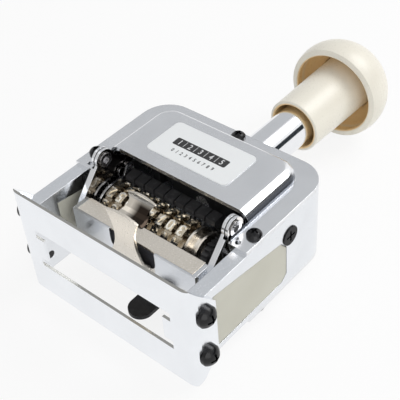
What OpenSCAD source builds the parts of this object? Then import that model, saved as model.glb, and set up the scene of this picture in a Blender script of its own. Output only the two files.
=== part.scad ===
// Automatic numbering machine, lying on its side as it does between uses.
// X runs across the width, Y along the plunger from the print window to the knob, Z up.
// Every place below is measured from the print face (y = 0) and the lower edge (z = 0).

/* [Base plate] */
// Width over the two side flanges
plate_w = 78.8; // [74:0.1:96]
// Height of the plate
plate_h = 43.6; // [43.6:0.1:53]
// Thickness of the plate's two side flanges
plate_t = 1.8; // [1.2:0.1:2.4]
// Thickness of the plate's face, round the window
face_t = 1; // [0.8:0.1:1.8]
// Outer radius of the bend between plate and flange
plate_bend_r = 4; // [3:0.1:5]
// How far the side flanges reach back
flange_d = 10.5; // [9.5:0.1:12]
// Width of the print window
window_w = 60; // [57:0.1:64]
// Height of the print window
window_h = 16.5; // [14:0.1:20]
// Clear width between the two guide tabs of the window
tab_gap = 53.2; // [53:0.1:56]
// Height of each guide tab
tab_h = 9.4; // [6:0.1:12]
// Distance of a flange screw from the plunger axis
flange_screw_dz = 9; // [8:0.1:12]

/* [Body] */
// Height of the body's underside above the plate's lower edge
body_low = 6.8; // [5:0.1:9]
// Height of the body casting
body_h = 29.3; // [28.5:0.1:33]
// Length of the body casting
body_l = 72.8; // [70:0.1:90]
// Wall thickness of the body casting
wall_t = 5.2; // [4:0.1:6]
// Outer radius of the two rear corners
corner_r = 11; // [6:0.1:14]
// Sheet thickness of the two covers
cover_t = 1.5; // [1:0.1:2]
// Front edge of the cover's ears
ear_y = 27.9; // [26:0.1:30]
// Width of the raised part of the front cover
hump_w = 60.8; // [58:0.1:62]
// Height of the raised part above the cover's underside
hump_h = 6; // [5:0.1:8]
// Open front edge of the raised part
hump_front_y = 38.1; // [37:0.1:42]
// Rear end of the raised part
hump_rear_y = 68.5; // [60:0.1:69]
// Radius of the raised part's upper edges
hump_edge_r = 4.2; // [2:0.1:4.8]

/* [Plunger] */
// How far the plunger goes down
stroke = 23.4; // [20:0.1:26]
// Overall length from print face to knob top
total_l = 153; // [150:0.1:185]
// Outer radius of the guide tube
tube_r = 7.75; // [7.2:0.05:8.5]
// Wall of the guide tube
tube_wall = 1.5; // [1:0.1:1.7]
// Outer radius of the sleeve at its mouth
sleeve_r = 10.87; // [10.5:0.01:12]
// Bore radius of the sleeve
sleeve_bore_r = 9.2; // [9:0.1:10]
// Distance of the sleeve's mouth from the knob's top
sleeve_l = 48.7; // [45:0.1:52]
// Largest radius of the knob
knob_r = 20; // [18:0.1:21]
// Radius of the knob's open mouth
knob_mouth_r = 16.6; // [15:0.1:17]
// Depth of the knob from its top to its mouth
knob_l = 22.65; // [20:0.05:26]
// Radius of the plunger stem
stem_r = 4; // [3.5:0.1:4.3]

/* [Return spring] */
// Wire diameter
spring_wire = 1.1; // [0.9:0.1:1.2]
// Number of curls
spring_curls = 16; // [12:1:18]

/* [Number wheels] */
// How many number wheels
wheels = 8; // [8]
// Distance between neighbouring wheels
wheel_pitch = 4.6; // [4.5:0.05:4.65]
// Radius over the raised figures
wheel_r = 8.5; // [8:0.1:9]
// Height that the figures stand above the type face
relief_h = 0.4; // [0.3:0.05:0.6]
// Centre of the first wheel across the width
first_wheel_x = -22.6; // [-22.6:0.05:-22.4]
// Radius of the wheel axle
axle_r = 2; // [1.5:0.1:2.2]
// Turn of the feed rocker in one stroke, one figure of ten
feed_deg = 36; // [36]

/* [Ink pad] */
// Height of the pad arms' pivot below the plate's upper edge
pivot_drop = 3.4; // [3:0.1:4]
// Turn of the pad arms in one stroke
swing_deg = 78; // [75:1:84]
// Inner face of the pad arms from the middle
arm_x = 27.3; // [27.2:0.05:27.4]
// Sheet thickness of the pad arms
arm_t = 1.1; // [0.8:0.1:1.2]
// Lower edge of the pad tray above the plate's lower edge
tray_low = 16.5; // [16:0.1:18]
// Height of the pad tray
tray_h = 14.3; // [13:0.1:14.5]
// Depth of the pad tray from its outer wall to the pad's face
tray_d = 8.45; // [8:0.05:9]

/* [Hidden] */

$fn = 48;

// Colours
chrome = [0.78, 0.79, 0.82];
satin = [0.66, 0.67, 0.69];
nickel = [0.72, 0.67, 0.6];
steel = [0.6, 0.6, 0.62];
black = [0.07, 0.07, 0.08];
cream = [0.88, 0.85, 0.76];
beige = [0.67, 0.66, 0.58];
paper_grey = [0.88, 0.89, 0.9];
brass = [0.75, 0.6, 0.3];

// General clearances
eps = 0.01;
slack = 0.05;
gap = 0.3;

// Body, worked out from the plate
half_w = plate_w / 2;
body_x = half_w - plate_t;
axis_z = plate_h / 2;
body_top = body_low + body_h;
body_rear_y = face_t + body_l;
body_front_r = plate_bend_r + face_t;
inner_x = body_x - wall_t;
inner_rear_y = body_rear_y - wall_t;
ear_x = 30.3;
hump_corner_r = 8;
hump_top = body_top + hump_h;
panel_t = 1.1;
panel_step = 0.1;
panel_outline = [[11.5, 2.4], [45.6, 2.4], [48.2, 4.6], [48.2, 16.9], [45.2, 20.4], [11.5, 25.4]];
panel_middle = [30, 10];
plug_outline = [[13, 6.6], [31.5, 6.6], [31.5, 21.8], [13, 24.5]];
plug_middle = [22, 10];
label_t = 0.3;
label_box = [[-18.8, 43.6], [16.5, 61.5]];
label_r = 2;

// Screws
flange_screw_y = 5.4;
flange_head_r = 3.7;
flange_head_h = 3.4;
cover_head_r = 2.6;
cover_head_h = 2.3;
cover_shank_r = 1.2;
shank_r = 1.5;
shank_l = 7;
ear_screw = [34.8, 35.3];
rear_screw_y = body_rear_y - 2.65;
ear_hole = [32.6, 29.9];
ear_hole_r = 0.9;
side_screw = [50.2, 27.6];
side_head_r = 3.6;

// Plunger
tube_in_r = tube_r - tube_wall;
tube_front_y = inner_rear_y - 4;
sleeve_mouth_y = total_l - sleeve_l;
knob_mouth_y = total_l - knob_l;
sleeve_end_y = total_l - 10;
boss_y = total_l - 15.5;
tube_end_y = boss_y - stroke - 2.5;
bush_y = inner_rear_y + 7;
nut_af = 20;
spring_r = (stem_r + tube_in_r) / 2;
knob_wall = 3;

// Wheels: at full stroke the raised figures reach the print face
axle_y = stroke + wheel_r;
axle_z = axis_z;
land_r = wheel_r - relief_h;
land_w = 3;
ratchet_w = 1.3;
wheel_w = land_w + ratchet_w;
ratchet_root_r = 5.6;
ratchet_tip_r = 7.2;
figures = 10;
pawl_tip_r = 7.05;
detent_deg = 40;
pawl_at_deg = detent_deg - 3 * 360 / figures;
tip_lag_deg = 3;

// Carriage
plate_in_x = 25.55;
side_t = 0.8;
plate_out_x = plate_in_x + side_t;
nose_r = 8;
block_y = 50;
block_l = 9;
carriage_end_y = block_y + block_l + 1;
shaft_at_r = 11;
shaft_r = 1.2;
rocker_t = 0.45;
rocker_right_x = 22.6;
spool_x = [12.9, 18.1];
teeth_x = [19.6, 22];

// Pad swing about the pivot, in the YZ plane
pivot = [axle_y + 0.4, plate_h - pivot_drop];
eye_r = 3.9;
rivet_r = 2;
pin_r = 1.1;
pin_at = [10, -9];
slot_half = pin_r + gap;
arm_out_x = arm_x + arm_t;
bracket_x = arm_out_x + 0.4;
bracket_t = 1;
tray_face_y = axle_y - wheel_r - tray_d;
pad_face_y = axle_y - wheel_r - slack;
tray_top = tray_low + tray_h;
tray_t = 0.8;
arm_dir = [-0.671, -0.741];
arm_nrm = [-0.741, 0.671];
arm_front = 2.35;
arm_back = 6.35;

// Points of an arc about c, both ends included
function arc(c, r, a0, a1, n) =
    [for (i = [0:n]) c + r * [cos(a0 + (a1 - a0) * i / n), sin(a0 + (a1 - a0) * i / n)]];
// A rectangle from p to q with round corners
function round_box(p, q, r, n = 6) = concat(
    arc([q[0] - r, q[1] - r], r, 0, 90, n),
    arc([p[0] + r, q[1] - r], r, 90, 180, n),
    arc([p[0] + r, p[1] + r], r, 180, 270, n),
    arc([q[0] - r, p[1] + r], r, 270, 360, n));
// A box open to the front whose two rear corners are round
function open_box(x, y0, y1, r, n = 10) = concat(
    [[-x, y0], [x, y0]], arc([x - r, y1 - r], r, 0, 90, n), arc([r - x, y1 - r], r, 90, 180, n));
// The same with its front corners rounded to f, as the plate's bend needs
function eased_box(x, y0, y1, r, f) = concat(
    arc([f - x, y0 + f], f, 180, 270, 4), arc([x - f, y0 + f], f, 270, 360, 4),
    arc([x - r, y1 - r], r, 0, 90, 10), arc([r - x, y1 - r], r, 90, 180, 10));
function turned(v, a) = [v[0] * cos(a) - v[1] * sin(a), v[0] * sin(a) + v[1] * cos(a)];
// Where the carriage's pin stands in the arm's own frame after s of the stroke
function pin_in_arm(s) = turned(pin_at - [s, 0], swing_deg * s / stroke);
function unit(v) = v / norm(v);
function side_of(v) = [-v[1], v[0]];
function pin_side(s) = side_of(unit(pin_in_arm(s + 0.01) - pin_in_arm(s - 0.01)));

module placed(finish) {
    color(finish) translate([0, -total_l / 2, 0]) children();
}
// Carries an outline drawn as (y, z) from x0 to x1
module along_x(x0, x1) {
    translate([x0, 0, 0]) rotate([90, 0, 90]) linear_extrude(x1 - x0) children();
}
// Carries an outline drawn as (x, z) from y0 to y1
module along_y(y0, y1) {
    translate([0, y1, 0]) rotate([90, 0, 0]) linear_extrude(y1 - y0) children();
}
// Carries an outline drawn as (x, y) from z0 to z1
module along_z(z0, z1) {
    translate([0, 0, z0]) linear_extrude(z1 - z0) children();
}
// Turns an outline drawn as (radius, y) about the plunger axis
module about_plunger() {
    translate([0, 0, axis_z]) rotate([-90, 0, 0]) rotate_extrude($fn = 96) children();
}
// A round bar along X about the point (y, z)
module bar_x(at, r, x0, x1) {
    translate([x0, at[0], at[1]]) rotate([0, 90, 0]) cylinder(h = x1 - x0, r = r);
}
// A round bar along Y on the plunger axis
module bar_y(r, y0, y1) {
    translate([0, y0, axis_z]) rotate([-90, 0, 0]) cylinder(h = y1 - y0, r = r, $fn = 96);
}
module both_sides() {
    children();
    mirror([1, 0, 0]) children();
}
// A pan head with a cross recess on a plain shank, its seat at z = 0 and its head upwards
module pan_screw(head_r, head_h, body_r, shank) {
    dome_r = (head_r * head_r + head_h * head_h) / (2 * head_h) * 1.12;
    difference() {
        union() {
            intersection() {
                cylinder(h = head_h, r = head_r);
                translate([0, 0, head_h - dome_r]) sphere(r = dome_r);
            }
            translate([0, 0, -shank]) cylinder(h = shank + eps, r = body_r);
        }
        cross_recess(head_r * 0.55, head_h * 0.5);
    }
}
// Two crossed slots, cut from the height floor_z upwards
module cross_recess(reach, floor_z) {
    slot_w = 0.8;
    for (turn = [0, 90])
        rotate([0, 0, turn]) translate([-reach, -slot_w / 2, floor_z]) cube([2 * reach, slot_w, 2 * reach]);
}
// A wire wound along Y about the axis (cy, cz), each end turned square to its seat
module wound_wire(at, r, wire, y0, y1, curls, rings = 8, sides = 6) {
    steps = curls * rings;
    lift = (y1 - y0 - 3 * wire) / steps;
    path = concat(
        [[r, y0, 0]],
        [for (i = [0:steps]) [r * cos(360 * i / rings), y0 + 1.5 * wire + i * lift, r * sin(360 * i / rings)]],
        [[r, y1, 0]]);
    last = len(path) - 1;
    points = [for (i = [0:last])
        let (ahead = path[min(i + 1, last)] - path[max(i - 1, 0)],
             t = ahead / norm(ahead),
             out = path[i] - [0, path[i][1], 0],
             u0 = out - t * (out * t),
             u = u0 / norm(u0),
             v = cross(t, u))
        for (k = [0:sides - 1]) path[i] + wire / 2 * (cos(360 * k / sides) * u + sin(360 * k / sides) * v)];
    walls = [for (i = [0:last - 1], k = [0:sides - 1])
        let (a = i * sides + k, b = i * sides + (k + 1) % sides)
        each [[a, a + sides, b], [b, a + sides, b + sides]]];
    caps = concat(
        [for (k = [1:sides - 2]) [0, k, k + 1]],
        [for (k = [1:sides - 2]) [last * sides, last * sides + k + 1, last * sides + k]]);
    echo(least_gap = lift * rings - wire);
    translate(at) polyhedron(points = points, faces = concat(walls, caps), convexity = 10);
}

// ---- Fixed frame ----
module plate_section() {
    r = plate_bend_r;
    thin_x = half_w - r - 1;
    polygon(concat(
        [[-half_w, flange_d]], arc([r - half_w, r], r, 180, 270, 6), arc([half_w - r, r], r, 270, 360, 6),
        [[half_w, flange_d], [body_x, flange_d]],
        arc([half_w - r, r], r - plate_t, 360, 270, 6), [[thin_x, face_t], [-thin_x, face_t]],
        arc([r - half_w, r], r - plate_t, 270, 180, 6), [[-body_x, flange_d]]));
}
module base_plate() {
    step_z = 10.6;
    window_low = axis_z - window_h / 2;
    tab_low = axis_z - tab_h / 2;
    placed(chrome) difference() {
        intersection() {
            along_z(0, plate_h) plate_section();
            along_x(-half_w - 1, half_w + 1) polygon([
                [0, 0], [face_t, 0], [flange_d, step_z], [flange_d, plate_h - step_z],
                [face_t, plate_h], [0, plate_h]]);
            along_y(-1, flange_d + 1) polygon(round_box([-half_w, 0], [half_w, plate_h], 2));
        }
        along_y(-1, plate_t + 1) polygon([
            [-window_w / 2, window_low], [window_w / 2, window_low], [window_w / 2, tab_low],
            [tab_gap / 2, tab_low], [tab_gap / 2, tab_low + tab_h], [window_w / 2, tab_low + tab_h],
            [window_w / 2, window_low + window_h], [-window_w / 2, window_low + window_h],
            [-window_w / 2, tab_low + tab_h], [-tab_gap / 2, tab_low + tab_h], [-tab_gap / 2, tab_low],
            [-window_w / 2, tab_low]]);
        flange_bores(half_w + 1);
    }
}
module flange_bores(reach) {
    for (dz = [-flange_screw_dz, flange_screw_dz]) {
        bar_x([flange_screw_y, axis_z + dz], shank_r + slack, body_x - shank_l + plate_t, reach);
        bar_x([flange_screw_y, axis_z + dz], shank_r + slack, -reach, shank_l - plate_t - body_x);
    }
}
module body_outline() {
    polygon(eased_box(body_x, face_t, body_rear_y, corner_r, body_front_r));
}
// An outline on the side wall, each corner moved outwards from the middle by grow
module wall_shape(outline, middle, grow) {
    polygon([for (p = outline)
        [p[0] + (p[0] > middle[0] ? grow : -grow), p[1] + body_low + (p[1] > middle[1] ? grow : -grow)]]);
}
module body_casting() {
    fit = 0.25;
    placed(satin) difference() {
        along_z(body_low, body_top) body_outline();
        along_z(body_low - 1, body_top + 1)
            polygon(open_box(inner_x, face_t - 1, inner_rear_y, corner_r - wall_t));
        both_sides() along_x(body_x - panel_t - panel_step, body_x + 1)
            wall_shape(panel_outline, panel_middle, fit);
        both_sides() along_x(inner_x - 1, body_x) wall_shape(plug_outline, plug_middle, fit);
        both_sides() side_screw_shape(slack, body_x + 1);
        bar_y(tube_r + slack, inner_rear_y - 1, body_rear_y + 1);
        flange_bores(body_x + 1);
        cover_bores(body_low - 1, body_low + shank_l - cover_t);
        cover_bores(body_top - shank_l + cover_t, body_top + 1);
    }
}
module cover_bores(z0, z1) {
    for (at = [[ear_screw[0], ear_screw[1]], [-ear_screw[0], ear_screw[1]], [0, rear_screw_y]])
        translate([at[0], at[1], z0]) cylinder(h = z1 - z0, r = cover_shank_r + slack);
}
module soft_disc(r, h, edge) {
    rotate_extrude($fn = 64)
        polygon(concat([[0, 0], [r, 0]], arc([r - edge, h - edge], edge, 0, 90, 8), [[0, h]]));
}
// The raised part of the cover, or its hollow when drawn thinner by t
module hump(t) {
    x = hump_w / 2 - hump_corner_r;
    hull() for (sx = [-x, x], y = [hump_front_y - hump_corner_r, hump_rear_y - hump_corner_r])
        translate([sx, y, body_top]) soft_disc(hump_corner_r - t, hump_h - t, hump_edge_r - t);
}
module front_cover() {
    placed(chrome) difference() {
        union() {
            along_z(body_top, body_top + cover_t) body_outline();
            hump(0);
        }
        translate([0, 0, -eps]) hump(cover_t);
        along_z(body_top - 1, hump_top + 1) polygon([
            [-ear_x, 0], [ear_x, 0], [ear_x, hump_front_y], [-ear_x, hump_front_y]]);
        along_z(body_top - 1, body_top + hump_h + 1) polygon([
            [-body_x - 1, 0], [body_x + 1, 0], [body_x + 1, ear_y], [-body_x - 1, ear_y]]);
        cover_bores(body_top - 1, hump_top);
        both_sides() translate([ear_hole[0], ear_hole[1], body_top - 1])
            cylinder(h = 3 * cover_t, r = ear_hole_r);
    }
}
module back_cover() {
    placed(chrome) difference() {
        along_z(body_low - cover_t, body_low) body_outline();
        along_z(body_low - 2 * cover_t, body_low + 1) polygon([
            [-body_x - 1, 0], [body_x + 1, 0], [body_x + 1, ear_y], [-body_x - 1, ear_y]]);
        cover_bores(body_low - 2 * cover_t, body_low + 1);
        translate([lever_at[0], lever_at[1], body_low - 2 * cover_t])
            cylinder(h = 3 * cover_t, r = lever_shank_r + slack);
    }
}
// A plate in a shallow recess, with a plug behind it that closes the hole in the wall
module side_panel() {
    along_x(body_x - panel_t - panel_step, body_x - panel_step) wall_shape(panel_outline, panel_middle, 0);
    along_x(inner_x + panel_step, body_x - panel_t) wall_shape(plug_outline, plug_middle, 0);
}
module side_panel_left() {
    placed(beige) mirror([1, 0, 0]) side_panel();
}
module side_panel_right() {
    placed(beige) side_panel();
}
module label_plate() {
    placed(paper_grey) along_z(hump_top, hump_top + label_t)
        polygon(round_box(label_box[0], label_box[1], label_r));
}
module guide_tube() {
    placed(chrome) difference() {
        bar_y(tube_r, tube_front_y, tube_end_y);
        bar_y(tube_in_r, tube_front_y - 1, tube_end_y + 1);
    }
}
module tube_nut() {
    placed(steel) difference() {
        translate([0, tube_front_y, axis_z]) rotate([-90, 0, 0])
            cylinder(h = inner_rear_y - tube_front_y, r = nut_af / 2 / cos(30), $fn = 6);
        bar_y(tube_r + slack, tube_front_y - 1, inner_rear_y + 1);
    }
}
module guide_bush() {
    placed(brass) difference() {
        bar_y(tube_in_r - slack / 2, tube_front_y, bush_y);
        bar_y(stem_r + slack, tube_front_y - 1, bush_y + 1);
    }
}
module return_spring() {
    placed(steel) wound_wire([0, 0, axis_z], spring_r, spring_wire, bush_y, boss_y - 1, spring_curls);
}
module flange_screws() {
    placed(black) for (side = [-1, 1], dz = [-flange_screw_dz, flange_screw_dz])
        translate([side * half_w, flange_screw_y, axis_z + dz]) rotate([0, side * 90, 0])
            pan_screw(flange_head_r, flange_head_h, shank_r, shank_l);
}
module cover_screw_set() {
    for (at = [[ear_screw[0], ear_screw[1]], [-ear_screw[0], ear_screw[1]], [0, rear_screw_y]])
        translate([at[0], at[1], cover_t]) pan_screw(cover_head_r, cover_head_h, cover_shank_r, shank_l);
}
module front_cover_screws() {
    placed(black) translate([0, 0, body_top]) cover_screw_set();
}
module back_cover_screws() {
    placed(black) translate([0, 0, body_low]) mirror([0, 0, 1]) cover_screw_set();
}
// A countersunk screw in the side wall, its cone drawn wider by grow
module side_screw_shape(grow, reach) {
    translate([0, side_screw[0], side_screw[1]]) rotate([0, 90, 0]) {
        cylinder(h = reach, r = shank_r + grow);
        translate([0, 0, body_x - side_head_r + shank_r])
            cylinder(h = side_head_r - shank_r, r1 = shank_r + grow, r2 = side_head_r + grow);
        translate([0, 0, body_x - eps]) cylinder(h = reach - body_x + eps, r = side_head_r + grow);
    }
}
module side_screws() {
    rim_h = 0.4;
    recess_h = 0.9;
    placed(black) both_sides() difference() {
        side_screw_shape(0, body_x + rim_h);
        bar_x(side_screw, 2 * side_head_r, 0, inner_x);
        translate([body_x + rim_h, side_screw[0], side_screw[1]]) rotate([0, 90, 0])
            cross_recess(side_head_r * 0.6, -recess_h);
    }
}
// Ear that carries one end of the pad arms' pivot, standing on a foot on the wall
module arm_bracket() {
    foot_z = [24, 33];
    foot_y = [pivot[0] + 1, pivot[0] + 12];
    difference() {
        union() {
            bar_x(pivot, eye_r, bracket_x, bracket_x + bracket_t);
            along_x(bracket_x, bracket_x + bracket_t) polygon([
                [pivot[0] - eye_r, pivot[1]], [pivot[0] + eye_r, pivot[1]], [pivot[0] + eye_r, foot_z[1] + 3],
                [foot_y[1], foot_z[1]], [foot_y[1], foot_z[0]], [foot_y[0], foot_z[0]],
                [pivot[0] - eye_r + 1, foot_z[1]]]);
            along_x(bracket_x + bracket_t - eps, inner_x)
                polygon(round_box([foot_y[0], foot_z[0]], [foot_y[1], foot_z[1]], 1));
        }
        bar_x(pivot, rivet_r + slack, bracket_x - 1, inner_x + 1);
    }
}
module arm_bracket_left() {
    placed(chrome) mirror([1, 0, 0]) arm_bracket();
}
module arm_bracket_right() {
    placed(chrome) arm_bracket();
}
module arm_rivets() {
    head_r = 2.7;
    head_t = 0.4;
    bore_r = 1.3;
    placed(steel) both_sides() difference() {
        union() {
            bar_x(pivot, rivet_r, arm_x - head_t, bracket_x + bracket_t + head_t);
            bar_x(pivot, head_r, bracket_x + bracket_t, bracket_x + bracket_t + head_t);
            bar_x(pivot, head_r, arm_x - head_t - gap / 2, arm_x - gap / 2);
        }
        bar_x(pivot, bore_r, arm_x - 2, bracket_x + bracket_t + 2);
    }
}

// ---- Plunger and carriage ----
module knob() {
    dome_h = 17.3;
    mid_y = total_l - dome_h;
    lip = 0.9;
    socket_r = sleeve_r + 1.2;
    hollow_r = knob_r - knob_wall;
    hollow_h = dome_h - knob_wall - 5;
    steps = 5;
    turn = acos(socket_r / hollow_r) / steps;
    placed(cream) about_plunger() polygon(concat(
        arc([knob_mouth_r + lip, knob_mouth_y + lip], lip, 180, 300, 4),
        [for (a = [-16:4:0]) [knob_r * cos(a), mid_y + dome_h * sin(a)]],
        [for (a = [6:6:90]) [knob_r * cos(a), mid_y + dome_h * sin(a)]],
        [[0, boss_y], [sleeve_bore_r - 0.5, boss_y], [sleeve_bore_r - 0.5, sleeve_end_y],
         [socket_r, sleeve_end_y]],
        [for (k = [steps:-1:0]) [hollow_r * cos(turn * k), mid_y - 1 + hollow_h * sin(turn * k)]]));
}
module knob_sleeve() {
    lip = 0.5;
    flare = 0.75;
    placed(cream) about_plunger() polygon(concat(
        arc([sleeve_bore_r + lip, sleeve_mouth_y + lip], lip, 180, 270, 3),
        arc([sleeve_r - lip, sleeve_mouth_y + lip], lip, 270, 360, 3),
        [[sleeve_r + flare, sleeve_end_y], [sleeve_bore_r, sleeve_end_y]]));
}
module plunger_stem() {
    neck_r = stem_r - 1;
    placed(steel) {
        bar_y(stem_r, block_y + block_l, boss_y);
        bar_y(neck_r, block_y, block_y + block_l + eps);
    }
}
module spring_washer() {
    placed(steel) difference() {
        bar_y(tube_in_r - 0.3, boss_y - 1, boss_y);
        bar_y(stem_r + slack, boss_y - 2, boss_y + 1);
    }
}
module carriage_plate() {
    pin = pivot + pin_at;
    shoulder_z = pin[1] + 1.9;
    top_z = axle_z + nose_r;
    low_z = axle_z - nose_r;
    difference() {
        along_x(plate_in_x, plate_out_x) polygon(concat(
            arc([axle_y, axle_z], nose_r, 90, 270, 16),
            [[axle_y + 10, low_z], [axle_y + 14, low_z + 2], [carriage_end_y, low_z + 2],
             [carriage_end_y, top_z - 1], [pin[0] + 5, top_z - 1], [pin[0] + 2.5, shoulder_z],
             [pin[0] - 2, shoulder_z], [pin[0] - 4, top_z]]));
        bar_x([axle_y, axle_z], axle_r + slack, plate_in_x - 1, plate_out_x + 1);
        bar_x(pin, pin_r + slack, plate_in_x - 1, plate_out_x + 1);
        bar_x([axle_y + 12.5, axle_z - 1], 3, plate_in_x - 1, plate_out_x + 1);
    }
}
module carriage_plate_left() {
    placed(chrome) mirror([1, 0, 0]) carriage_plate();
}
module carriage_plate_right() {
    placed(chrome) carriage_plate();
}
module carriage_block() {
    low = axle_z - 5.5;
    high = axle_z + 5.5;
    rib_y = block_y + 3;
    placed(black) difference() {
        union() {
            along_y(block_y, block_y + block_l) polygon(round_box([-14, low - 1], [14, high + 1], 2));
            along_y(rib_y, block_y + block_l) polygon([
                [-plate_in_x, low], [plate_in_x, low], [plate_in_x, high], [-plate_in_x, high]]);
        }
        bar_y(stem_r - 1 + slack, block_y - 1, block_y + block_l + 1);
        both_sides() along_z(low - 2, high + 2) polygon(round_box([16, rib_y - 2], [23, block_y + 6], 1));
    }
}
module wheel_axle() {
    head_r = 2.8;
    head_t = 0.4;
    placed(steel) {
        bar_x([axle_y, axle_z], axle_r, -plate_out_x - head_t, plate_out_x + head_t);
        both_sides() bar_x([axle_y, axle_z], head_r, plate_out_x, plate_out_x + head_t);
    }
}
module axle_spacers() {
    spacer_r = 3.2;
    last_x = first_wheel_x + (wheels - 1) * wheel_pitch + wheel_w / 2;
    placed(steel) difference() {
        for (x = [[last_x + 0.15, spool_x[0] - 0.15], [spool_x[1] + 0.15, teeth_x[0] - 0.15],
                  [teeth_x[1] + 0.15, rocker_right_x - 0.15], [rocker_right_x + 1.35, plate_in_x]])
            bar_x([axle_y, axle_z], spacer_r, x[0], x[1]);
        bar_x([axle_y, axle_z], axle_r + slack, -plate_out_x, plate_out_x);
    }
}
module cam_pins() {
    placed(steel) both_sides() bar_x(pivot + pin_at, pin_r, plate_in_x, arm_out_x);
}
// Nine black fingers behind the wheels, eight of them with a tip in a ratchet
module detent_comb() {
    width = 4;
    near_r = wheel_r + 0.5;
    at = [axle_y, axle_z];
    tip = at + turned([pawl_tip_r, 0], detent_deg + tip_lag_deg);
    heel = at + turned([near_r, 0], detent_deg + 8);
    toe = at + turned([near_r, 0], detent_deg - 10);
    bar_y0 = heel[0] + 3.4;
    placed(black) {
        for (i = [0:wheels]) {
            x = first_wheel_x - 0.2 + i * wheel_pitch;
            along_x(x - width / 2, x + width / 2) polygon([
                heel, [heel[0] + 0.4, heel[1] + 1.8], [heel[0] + 4.6, heel[1] + 2.2],
                [bar_y0 + 3, heel[1] - 3], [bar_y0, toe[1] - 1], toe]);
        }
        for (i = [0:wheels - 1]) {
            x = first_wheel_x + wheel_w / 2 - ratchet_w / 2 + i * wheel_pitch;
            along_x(x - 0.45, x + 0.45) polygon([
                tip, tip + turned([0.3, 0.3], detent_deg), heel + [0.5, 0], toe + [0.5, 0.3]]);
        }
        along_x(-plate_in_x, plate_in_x)
            polygon(round_box([bar_y0 + 0.5, heel[1] - 5], [bar_y0 + 4.5, heel[1] - 1.5], 0.6));
    }
}

// ---- Number wheels ----
module ratchet_outline(teeth, root_r, tip_r, at_deg) {
    step = 360 / teeth;
    polygon([for (k = [0:teeth - 1]) each [
        turned([root_r, 0], at_deg + k * step), turned([(root_r + tip_r) / 2, 0], at_deg + (k + 0.5) * step),
        turned([tip_r, 0], at_deg + (k + 1) * step - 0.5)]]);
}
module type_outline() {
    land_deg = 27;
    groove_r = land_r - 0.9;
    step = 360 / figures;
    polygon([for (k = [0:figures - 1]) each concat(
        arc([0, 0], land_r, k * step - land_deg / 2, k * step + land_deg / 2, 3),
        [turned([groove_r, 0], k * step + land_deg / 2 + 1),
          turned([groove_r, 0], (k + 1) * step - land_deg / 2 - 1)])]);
}
module number_wheel(i) {
    x = first_wheel_x + (i - 1) * wheel_pitch - wheel_w / 2;
    placed(nickel) difference() {
        union() {
            translate([0, axle_y, axle_z]) along_x(x, x + land_w) type_outline();
            translate([0, axle_y, axle_z]) along_x(x + land_w - eps, x + wheel_w)
                ratchet_outline(figures, ratchet_root_r, ratchet_tip_r, detent_deg);
        }
        bar_x([axle_y, axle_z], axle_r + slack, x - 1, x + wheel_w + 1);
    }
}
module wheel_1() { number_wheel(1); }
module wheel_2() { number_wheel(2); }
module wheel_3() { number_wheel(3); }
module wheel_4() { number_wheel(4); }
module wheel_5() { number_wheel(5); }
module wheel_6() { number_wheel(6); }
module wheel_7() { number_wheel(7); }
module wheel_8() { number_wheel(8); }
module repeat_spool() {
    rim_t = 0.9;
    placed(nickel) difference() {
        union() {
            bar_x([axle_y, axle_z], land_r, spool_x[0], spool_x[0] + rim_t);
            bar_x([axle_y, axle_z], land_r - 2, spool_x[0], spool_x[1]);
            bar_x([axle_y, axle_z], land_r, spool_x[1] - rim_t, spool_x[1]);
        }
        bar_x([axle_y, axle_z], axle_r + slack, spool_x[0] - 1, spool_x[1] + 1);
    }
}
module repeat_ratchet() {
    placed(black) difference() {
        translate([0, axle_y, axle_z]) along_x(teeth_x[0], teeth_x[1])
            ratchet_outline(24, land_r - 1.4, land_r - 0.3, 0);
        bar_x([axle_y, axle_z], axle_r + slack, teeth_x[0] - 1, teeth_x[1] + 1);
    }
}

// ---- Feed rocker, turning about the wheel axle ----
shaft_at = [axle_y, axle_z] + turned([shaft_at_r, 0], pawl_at_deg - 4);
module rocker_arm(x0, x1) {
    lean = turned([1, 0], pawl_at_deg - 4);
    eye = 3.3;
    foot = 2;
    centre = [axle_y, axle_z];
    bar_x(centre, eye, x0, x1);
    bar_x(shaft_at, foot, x0, x1);
    along_x(x0, x1) polygon([
        centre + eye * side_of(lean), centre - eye * side_of(lean),
        shaft_at - foot * side_of(lean), shaft_at + foot * side_of(lean)]);
}
module feed_rocker() {
    left_x = -plate_in_x + 0.1;
    placed(steel) difference() {
        union() {
            rocker_arm(left_x, left_x + rocker_t);
            rocker_arm(rocker_right_x, rocker_right_x + 1.2);
        }
        bar_x([axle_y, axle_z], axle_r + slack, -plate_in_x - 1, plate_in_x + 1);
        bar_x(shaft_at, shaft_r + slack, -plate_in_x - 1, plate_in_x + 1);
    }
}
module feed_shaft() {
    placed(steel) bar_x(shaft_at, shaft_r, -plate_in_x + 0.1, rocker_right_x + 1.2);
}
module feed_pawl() {
    centre = [axle_y, axle_z];
    tip = centre + turned([pawl_tip_r, 0], pawl_at_deg + tip_lag_deg);
    lean = turned([1, 0], pawl_at_deg);
    root = centre + 9.2 * lean;
    x0 = first_wheel_x - wheel_w / 2 + 0.2;
    x1 = first_wheel_x + (wheels - 1) * wheel_pitch + wheel_w / 2;
    placed(steel) difference() {
        union() {
            bar_x(shaft_at, shaft_r + 0.9, x0, x1);
            along_x(x0, x1) polygon([
                root + 1.1 * side_of(lean), root - 1.3 * side_of(lean), shaft_at - 2 * side_of(lean),
                shaft_at + 2 * side_of(lean)]);
            for (i = [0:wheels - 1]) {
                x = first_wheel_x + wheel_w / 2 - ratchet_w / 2 + i * wheel_pitch;
                along_x(x - 0.45, x + 0.45) polygon([
                    tip, root - 1.3 * side_of(lean) + 0.5 * lean, root + 1.1 * side_of(lean) + 0.5 * lean,
                    tip + turned([0.3, 0.3], pawl_at_deg)]);
            }
        }
        bar_x(shaft_at, shaft_r + slack, x0 - 1, x1 + 1);
    }
}
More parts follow.
